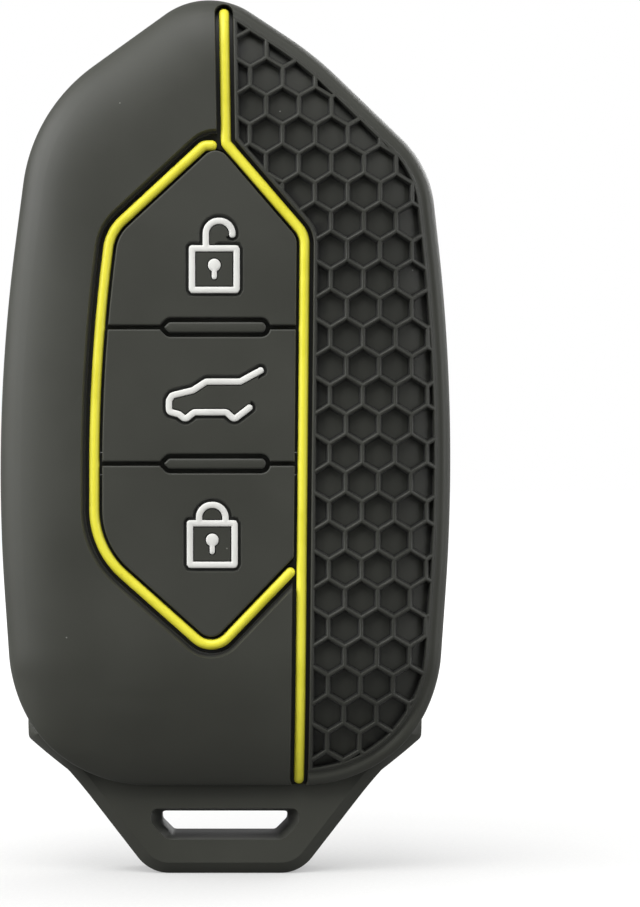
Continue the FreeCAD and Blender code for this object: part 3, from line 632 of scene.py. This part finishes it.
def build_tab():
    """Key ring tab: the outline of base, neck and ears less the cover, bevelled along its edge. The
    ears come forward to meet the skin. Round the slot the front falls from a wider rim to the slot
    itself, by the share of the way between both outlines."""
    tab_half = [
        (19.6, FOOT + 9.0, 0.0), (19.5, FOOT + 4.75, 0.6), (15.6, FOOT + 1.45, 1.5), (7.5, 0.0, 4.0),
    ]
    tab_line = rounded(mirrored(tab_half))
    slot_half = np.array([(6.35, 6.1, 0.4), (6.35, 4.8, 0.6), (5.15, 3.6, 0.5)])
    rim_half = np.array([(7.4, 6.55, 0.7), (7.4, 5.1, 0.9), (5.85, 3.45, 0.9)])
    slot_loops = [
        rounded(mirrored((slot_half + (rim_half - slot_half) * share).tolist()), step=0.2)
        for share in (0, 0.12, 0.35, 0.65, 0.9, 1)
    ]
    slot_line, rim_line = slot_loops[0], slot_loops[-1]
    keep = lambda plan: inside(plan, tab_line) & ~inside(plan, cover_line) & ~inside(plan, slot_line)
    edge_steps = (0, 0.05, 0.15, 0.6, 1.0, TAB_EDGE, TAB_EDGE + 0.08)
    loops = [inset(tab_line, gap) for gap in edge_steps] + slot_loops + [cover_line]
    points = grid_points((-20, 0), (20, 19), 0.9)
    free = (within(points, tab_line) > 1.6) & (within(points, rim_line) < -0.5)
    plan, triangles = woven(loops, keep, points=points[free])
    to_slot = np.clip(-within(plan, slot_line), 0, None)
    to_rim = np.clip(within(plan, rim_line), 0, None)
    bevel = TAB_BEVEL * np.clip(1 - within(plan, tab_line) / TAB_EDGE, 0, 1) ** TAB_BEVEL_POWER
    funnel = SLOT_FALL * (to_rim / np.maximum(to_rim + to_slot, 1e-6)) ** SLOT_FALL_POWER
    ear = ease((np.abs(plan[:, 0]) - EAR_START) / EAR_RUN) * ease(1 + within(plan, cover_line) / EAR_REACH)
    front = -TAB_FRONT * (1 - ear) + front_face(plan) * ear + bevel + funnel
    back = TAB_FRONT - bevel - quarter(to_slot, SLOT_BACK_ROUND, SLOT_BACK_ROUND)
    # painted shade: round the slot the hollow colour follows the funnel's fall
    share = np.tile(np.clip(funnel / SLOT_FALL, 0, 1), 2)
    form = plate(plan, triangles, front, back)
    piece("keyring_tab", [form], black_with_painted_shade, "cover", 28, share)


def cell_gap(plan):
    """Distance inside the nearest six-sided cell, negative on the ribs: half the pitch less the
    largest of three projections from the cell's middle, less half the rib. Heights are taken back
    to an even honeycomb first."""
    found = []
    row = np.round((plan[:, 1] - CELL_ORIGIN[1]) / CELL_ROW_PITCH)
    for step_row in (-1, 0, 1):
        rows = row + step_row
        start = CELL_ORIGIN[0] + rows * CELL_ROW_LEAN + np.where(rows % 2 == 0, 0.0, CELL_PITCH / 2)
        column = np.round((plan[:, 0] - start) / CELL_PITCH)
        x = plan[:, 0] - start - column * CELL_PITCH
        z = (plan[:, 1] - CELL_ORIGIN[1] - rows * CELL_ROW_PITCH) / CELL_STRETCH
        reach = [np.abs(x * math.cos(a) + z * math.sin(a)) for a in (0, math.pi / 3, -math.pi / 3)]
        found.append(CELL_PITCH / 2 - np.max(reach, 0))
    return np.max(found, 0) - CELL_RIB / 2


def build_honeycomb():
    """Honeycomb panel right of the long line: it follows the rolled front, with six-sided cells sunk
    between thin round-topped ribs and a frame as thin all round. Depth below the ribs' tops =
    a quarter ellipse over each half rib, then a soft step down to the cell's floor. The walls and a
    narrow crease at their foot get the hollow colour as painted shade, the floor hardly."""

    def margin(plan):
        side = np.where(right_of_line(plan) > 0, distance(plan, long_path, False), -1.0) - GROOVE_HALF
        return np.minimum(within(plan, cover_line) - PANEL_RIM, side)

    frame_steps = (0, 0.05, 0.12, PANEL_FRAME / 2, PANEL_FRAME - 0.06, PANEL_FRAME, PANEL_FRAME + CELL_WALL)
    cell_steps = (-CELL_RIB / 2, -0.08, 0.0, CELL_WALL / 2, CELL_WALL, CELL_WALL + CELL_CREASE)
    loops = [inset(cover_line, PANEL_RIM + gap) for gap in frame_steps]
    loops += [around(long_path, GROOVE_HALF + gap) for gap in frame_steps]
    columns, rows = np.meshgrid(np.arange(*CELL_COLUMNS), np.arange(*CELL_ROWS))
    xs = CELL_ORIGIN[0] + columns * CELL_PITCH + rows * CELL_ROW_LEAN + (rows % 2) * CELL_PITCH / 2
    zs = CELL_ORIGIN[1] + rows * CELL_ROW_PITCH
    middles = np.column_stack([xs.ravel(), zs.ravel()])
    middles = middles[margin(middles) > -CELL_REACH]
    angles = np.radians(30 + 60 * np.arange(6))
    hexagon = np.stack([np.cos(angles), np.sin(angles) * CELL_STRETCH], 1)
    for gap in cell_steps:
        radius = (CELL_PITCH - CELL_RIB - 2 * gap) / math.sqrt(3)
        loops += [evenly(middle + hexagon * radius, radius / 2, True) for middle in middles]
    plan, triangles = woven(loops, lambda spots: margin(spots) > 0, points=middles)
    edge = margin(plan)
    gap = np.minimum(cell_gap(plan), edge - PANEL_FRAME)
    crown = np.where(gap < 0, quarter(-gap, CELL_RIB / 2, CELL_CROWN), CELL_CROWN)
    sunk = crown + (CELL_FLOOR - PANEL_FRONT - CELL_CROWN) * soft_step(gap, CELL_WALL)
    smooth = front_face(plan)
    front = smooth + PANEL_FRONT + sunk + quarter(edge, PANEL_FRAME / 2, CELL_CROWN)
    # painted shade: cell walls and the crease at their foot take the hollow colour, the floor little
    paler = (1 - CELL_FLOOR_SHARE) * soft_step(gap - CELL_WALL, CELL_CREASE)
    crease = soft_step(gap, CELL_WALL / 2) * (1 - paler)
    share = np.concatenate([crease, np.ones(len(plan))])
    form = plate(plan, triangles, front, smooth + PANEL_BACK, True)
    piece("honeycomb_panel", [form], black_panel_painted_shade, "cover", 40, share)


def bead(strokes, front, back, crown):
    """Raised lines over plan strokes (path, half width): the front is highest along the middle and
    falls by an ellipse to the edge, where it drops straight to the back."""
    widest = max(half for _, half in strokes)
    steps = [widest * share for share in (0, 0.08, 0.3, 0.65)]
    reach = lambda plan: np.max([half - distance(plan, path, False) for path, half in strokes], 0)
    loops = [around(path, half - gap) for path, half in strokes for gap in steps if half > gap]
    plan, triangles = woven(loops, lambda spots: reach(spots) > 0, paths=[path for path, _ in strokes])
    gap = np.clip(reach(plan), 0, None)
    return plate(plan, triangles, front(plan) + quarter(gap, widest, crown), back(plan), True)


def build_accent_lines():
    front = lambda plan: front_face(plan) + ACCENT_FRONT
    back = lambda plan: front_face(plan) + GROOVE_FLOOR
    for name, path in (("long_accent_line", long_path), ("ring_accent_line", ring_path)):
        form = bead([(path, ACCENT_HALF)], front, back, ACCENT_CROWN)
        piece(name, [form], yellow, "cover", 50)


def padlock_strokes(x, z, lift):
    """Middle lines of a padlock: the frame as one closed run and the shackle as a rounded arch. A
    lifted shackle stands off to the right and leaves its right leg short."""
    x0, x1 = x - PADLOCK_WIDTH / 2 + ICON_HALF, x + PADLOCK_WIDTH / 2 - ICON_HALF
    z0, z1 = z - PADLOCK_HEIGHT / 2 + ICON_HALF, z + PADLOCK_HEIGHT / 2 - ICON_HALF
    turns = [(*corner, PADLOCK_ROUND) for corner in ((x0, z0), (x1, z0), (x1, z1), (x0, z1))]
    body = rounded([(x0, z1), *turns, (x0, z0 + 1)], False, 0.1)
    centre = x + (SHACKLE_SHIFT if lift > 0 else 0.0)
    left, right = centre - SHACKLE_WIDTH / 2, centre + SHACKLE_WIDTH / 2
    arch = z1 + SHACKLE_RISE + lift
    free_end = arch - SHACKLE_FREE_LEG if lift > 0 else z1
    bow = 0.48 * SHACKLE_WIDTH
    shackle = rounded([(left, z1), (left, arch, bow), (right, arch, bow), (right, free_end)], False, 0.12)
    return [(body, ICON_HALF), (shackle, ICON_HALF)]


def keyhole_strokes(x, z):
    eye = z + KEYHOLE_RISE
    dot = np.array([(x, eye + 0.01), (x, eye), (x, eye - 0.01)])
    stem = evenly(np.array([(x, eye), (x, eye - KEYHOLE_STEM + KEYHOLE_STEM_HALF)]), 0.15, False)
    return [(dot, KEYHOLE_RADIUS), (stem, KEYHOLE_STEM_HALF)]


def tailgate_strokes():
    corners = np.array(TAILGATE_CENTRE) + TAILGATE_GRID * np.array(TAILGATE_STEPS)
    turns = [(*corner, TAILGATE_ROUND) for corner in corners[1:-1]]
    return [(rounded([corners[0], *turns, corners[-1]], False, 0.12), ICON_HALF)]


SIGNS = {
    "unlock_icon": (padlock_strokes(*UNLOCK_SPOT, SHACKLE_LIFT), "unlock"),
    "unlock_keyhole": (keyhole_strokes(*UNLOCK_SPOT), "unlock"),
    "tailgate_icon": (tailgate_strokes(), "tailgate"),
    "lock_icon": (padlock_strokes(*LOCK_SPOT, 0.0), "lock"),
    "lock_keyhole": (keyhole_strokes(*LOCK_SPOT), "lock"),
}


def build_signs():
    front = lambda plan: -FRONT + ICON_FRONT
    back = lambda plan: -FRONT + ICON_BACK
    for name, (strokes, button) in SIGNS.items():
        form = bead(strokes, front, back, ICON_CROWN)
        piece(name, [form], white, f"{button}_button", 50)


def bar_line(z):
    """Outline of a divider bar: round right end, left end run to a point."""
    left, right = BAR_X - BAR_HALF_LENGTH, BAR_X + BAR_HALF_LENGTH
    low, high = z - BAR_HALF_HEIGHT, z + BAR_HALF_HEIGHT
    shoulder = left + BAR_HALF_HEIGHT
    corners = [
        (right, high, BAR_END_ROUND), (right, low, BAR_END_ROUND), (shoulder, low, BAR_SHOULDER_ROUND),
        (left, z, BAR_POINT_ROUND), (shoulder, high, BAR_SHOULDER_ROUND),
    ]
    return rounded(corners, step=0.12)


def build_pad(button, low, high, foot_z):
    """Press pad between two divider lines: a flat face with softened edges, hollows for its signs,
    notches round the divider bars, and behind it the flange and press foot. The hollow is a wide soft
    dish round the outside of a sign and a thin gap within it."""
    strokes = [stroke for sign, owner in SIGNS.values() if owner == button for stroke in sign]
    sides = [(z, way) for z, way in ((low, 1), (high, -1)) if z is not None]
    bars = [bar_line(z) for z, _ in sides]

    def margin(plan):
        gaps = [within(plan, keypad_line) - PAD_INSET]
        gaps += [way * (plan[:, 1] - z) - DIVIDER_GAP_HALF for z, way in sides]
        gaps += [-within(plan, bar) - BAR_GAP for bar in bars]
        return np.min(gaps, 0)

    sign = lambda plan: np.min([distance(plan, path, False) - half for path, half in strokes], 0)
    steps = (0, 0.02, 0.06, 0.11, PAD_EDGE, PAD_EDGE + 0.1)
    loops = [inset(keypad_line, PAD_INSET + gap) for gap in steps]
    loops += [inset(bar, -BAR_GAP - gap) for bar in bars for gap in steps]
    loops += [around(path, half + gap) for path, half in strokes for gap in ICON_STEPS]
    heights = [z + way * (DIVIDER_GAP_HALF + gap) for z, way in sides for gap in steps]
    paths = [evenly(level(z, KEYPAD_LOW[0], KEYPAD_HIGH[0]), 0.5, False) for z in heights]
    points = grid_points(KEYPAD_LOW, KEYPAD_HIGH, 1.6)
    points = points[(margin(points) > 0.8) & (sign(points) > 0.8)]
    plan, triangles = woven(loops, lambda spots: margin(spots) > 0, paths, points)
    edge = np.clip(margin(plan), 0, None)
    gap = sign(plan)
    outer = soft_step(ICON_MARGIN + ICON_MARGIN_SOFT / 2 - gap, ICON_MARGIN_SOFT)
    inner = soft_step(ICON_INNER_MARGIN + ICON_INNER_SOFT / 2 - gap, ICON_INNER_SOFT)
    dish = np.where(np.any([inside(plan, path) for path, _ in strokes], 0), inner, outer)
    front = -FRONT + PAD_FRONT + quarter(edge, PAD_EDGE, PAD_EDGE_FALL) + (ICON_BACK - PAD_FRONT) * dish
    face = plate(plan, triangles, front, -FRONT + FLANGE_FRONT + FORM_OVERLAP, True)

    ends = [(z + way * (RIB_HALF + RIB_GAP), way) for z, way in sides]
    field = inset(keypad_line, -FLANGE_REACH)[::2]
    between = lambda spots: np.all([way * (spots[:, 1] - z) > 0 for z, way in ends], 0)
    ring = np.linspace(0, 2 * math.pi, 48, endpoint=False)
    disc = np.array([BAR_X, foot_z]) + PRESS_FOOT_RADIUS * np.column_stack([np.cos(ring), np.sin(ring)])
    rings = [field, disc, inset(disc, 0.1), inset(disc, 0.35)]
    cross = [level(z, RIB_LEFT, RIB_RIGHT) for z, _ in ends]
    plan, triangles = woven(rings, lambda spots: inside(spots, field) & between(spots), cross)
    proud = (PRESS_FOOT_BACK - PAD_BACK) * soft_step(within(plan, disc), PRESS_FOOT_EDGE)
    flange = plate(plan, triangles, -FRONT + FLANGE_FRONT, -FRONT + PAD_BACK + proud)
    # painted shade: the dish round the signs takes the hollow colour
    share = np.concatenate([dish, np.zeros(len(dish) + len(flange[0]))])
    piece(f"{button}_pad", [face, flange], black_with_painted_shade, f"{button}_button", 32, share)


def build_divider(name, z):
    """Divider: a flat-topped bar with softened edges on a cross rib behind the pads."""
    edge_line = bar_line(z)
    loops = [inset(edge_line, gap) for gap in (0, 0.03, 0.1, 0.2)]
    plan, triangles = woven(loops, lambda spots: inside(spots, edge_line))
    edge = np.clip(within(plan, edge_line), 0, None)
    front = -FRONT + PAD_FRONT + quarter(edge, BAR_EDGE, BAR_EDGE_FALL)
    bar = plate(plan, triangles, front, -FRONT + RIB_FRONT + FORM_OVERLAP)
    field = inset(keypad_line, -FLANGE_REACH)
    keep = lambda spots: inside(spots, field) & (np.abs(spots[:, 1] - z) < RIB_HALF)
    cross = [level(z + way, RIB_LEFT, RIB_RIGHT) for way in (-RIB_HALF, RIB_HALF)]
    plan, triangles = woven([field], keep, cross)
    rib = plate(plan, triangles, -FRONT + RIB_FRONT, -FRONT + FRONT_WALL)
    piece(name, [bar, rib], black, "cover")


build_front_skin()
build_rear_skin()
build_tab()
build_honeycomb()
build_accent_lines()
build_signs()
build_pad("unlock", UPPER_DIVIDER, None, UNLOCK_SPOT[1])
build_pad("tailgate", LOWER_DIVIDER, UPPER_DIVIDER, (LOWER_DIVIDER + UPPER_DIVIDER) / 2)
build_pad("lock", None, LOWER_DIVIDER, LOCK_SPOT[1])
build_divider("upper_divider", UPPER_DIVIDER)
build_divider("lower_divider", LOWER_DIVIDER)

# Floor, light and camera: lamps are (name, place, aim, size, watts) in metres
PHOTO_WIDTH, PHOTO_HEIGHT = 640, 907
PHOTO_MIDDLE = 225
MM_PER_PIXEL = 0.0982
CAMERA_DISTANCE = 300.0
CAMERA_Z = 41.95
SENSOR = 36.0
ROOM_LIGHT = 0.22
LAMPS = [
    ("left softbox", (-0.6, -0.22, 0.32), (0, 0, 0.05), (0.6, 0.6), 7.4),
    ("top softbox", (-0.08, -0.42, 0.66), (0, 0, 0.05), (0.45, 0.35), 4.2),
    ("right softbox", (0.55, -0.2, 0.14), (0, 0, 0.035), (0.5, 0.4), 2.3),
    ("rear softbox", (0.45, 0.55, 0.38), (0, 0, 0.05), (0.5, 0.4), 4.6),
]


def build_floor():
    """A wide white floor that keeps the soft shadow under the tab. To the camera it glows, less so
    close by and in nooks, so that it runs into the white room without a line; the dimmer glow in
    nooks is a painted contact shadow."""
    mesh = bpy.data.meshes.new("floor")
    mesh.from_pydata([(x, y, 0.0) for x, y in ((-3, -3), (3, -3), (3, 3), (-3, 3))], [], [(0, 1, 2, 3)])
    material, tree = new_material("white paper floor")
    place = add_node(tree, "ShaderNodeTexCoord").outputs["Object"]
    tint = ramp(tree, noise(tree, place, 0.5), (0.3, linear("#7d7d7c")), (0.7, linear("#838382")))
    paper = add_node(tree, "ShaderNodeBsdfDiffuse", Color=tint)
    seen = add_node(tree, "ShaderNodeLightPath").outputs["Is Camera Ray"]
    apart = add_node(tree, "ShaderNodeVectorMath", {"operation": "LENGTH"}, i0=place).outputs["Value"]
    bright = remap(tree, apart, 0.08, 0.4, 0.7, 1.0)
    # ambient occlusion dims the glow in nooks: a painted contact shadow
    painted_nook_shadow = add_node(tree, "ShaderNodeAmbientOcclusion", {"samples": 8}, Distance=0.03).outputs["AO"]
    held = maths(tree, "MULTIPLY", bright, remap(tree, painted_nook_shadow, 0.0, 1.0, 0.45, 1.0))
    lift = maths(tree, "MULTIPLY", seen, held)
    glow = add_node(tree, "ShaderNodeEmission", Color=(1, 1, 1, 1), Strength=lift)
    both = add_node(tree, "ShaderNodeAddShader", i0=paper.outputs[0], i1=glow.outputs[0])
    add_node(tree, "ShaderNodeOutputMaterial", Surface=both.outputs[0])
    mesh.materials.append(material)
    floor = bpy.data.objects.new("floor", mesh)
    bpy.context.scene.collection.objects.link(floor)


def build_world(strength):
    """A white room: plain white to the camera, and on the object a soft light that is strongest from
    above and from the left and weakest from below."""
    world = bpy.data.worlds.new("white room")
    bpy.context.scene.world = world
    world.use_nodes = True
    tree = world.node_tree
    tree.nodes.clear()
    place = add_node(tree, "ShaderNodeTexCoord").outputs["Generated"]
    way = add_node(tree, "ShaderNodeSeparateXYZ", Vector=place)
    tall = remap(tree, way.outputs["Z"], -0.6, 0.8, 0.35 * strength, 1.5 * strength)
    wide = remap(tree, way.outputs["X"], -1.0, 1.0, 1.12, 0.95)
    soft = maths(tree, "MULTIPLY", tall, wide)
    rays = add_node(tree, "ShaderNodeLightPath").outputs
    shown = maths(tree, "MAXIMUM", rays["Is Camera Ray"], rays["Is Transmission Ray"])
    lit = add_node(tree, "ShaderNodeMix", {"data_type": "FLOAT"}, i0=shown, i2=soft, i3=1.0).outputs[0]
    room = add_node(tree, "ShaderNodeBackground", Color=(1, 1, 1, 1), Strength=lit)
    add_node(tree, "ShaderNodeOutputWorld", Surface=room.outputs[0])


def add_lamp(name, spot, aim, size, watts):
    lamp = bpy.data.lights.new(name, "AREA")
    lamp.shape = "RECTANGLE"
    lamp.size, lamp.size_y = size
    lamp.energy = watts
    item = bpy.data.objects.new(name, lamp)
    item.location = spot
    item.rotation_euler = (Vector(aim) - Vector(spot)).to_track_quat("-Z", "Y").to_euler()
    bpy.context.scene.collection.objects.link(item)


def build_camera():
    """Level and face-on from the middle of the cover; the shift puts the cover left of the middle."""
    data = bpy.data.cameras.new("camera")
    tall = PHOTO_HEIGHT * MM_PER_PIXEL
    data.sensor_width = SENSOR
    data.lens = SENSOR * CAMERA_DISTANCE / tall
    data.shift_x = (PHOTO_WIDTH / 2 - PHOTO_MIDDLE) / PHOTO_HEIGHT
    data.clip_start = 0.01
    camera = bpy.data.objects.new("camera", data)
    camera.location = (0.0, -(CAMERA_DISTANCE + FRONT - ACCENT_FRONT) * MM, CAMERA_Z * MM)
    camera.rotation_euler = (math.pi / 2, 0, 0)
    bpy.context.scene.collection.objects.link(camera)
    bpy.context.scene.camera = camera


build_floor()
build_world(ROOM_LIGHT)
for lamp_values in LAMPS:
    add_lamp(*lamp_values)
build_camera()
bpy.context.scene.view_settings.view_transform = "Standard"
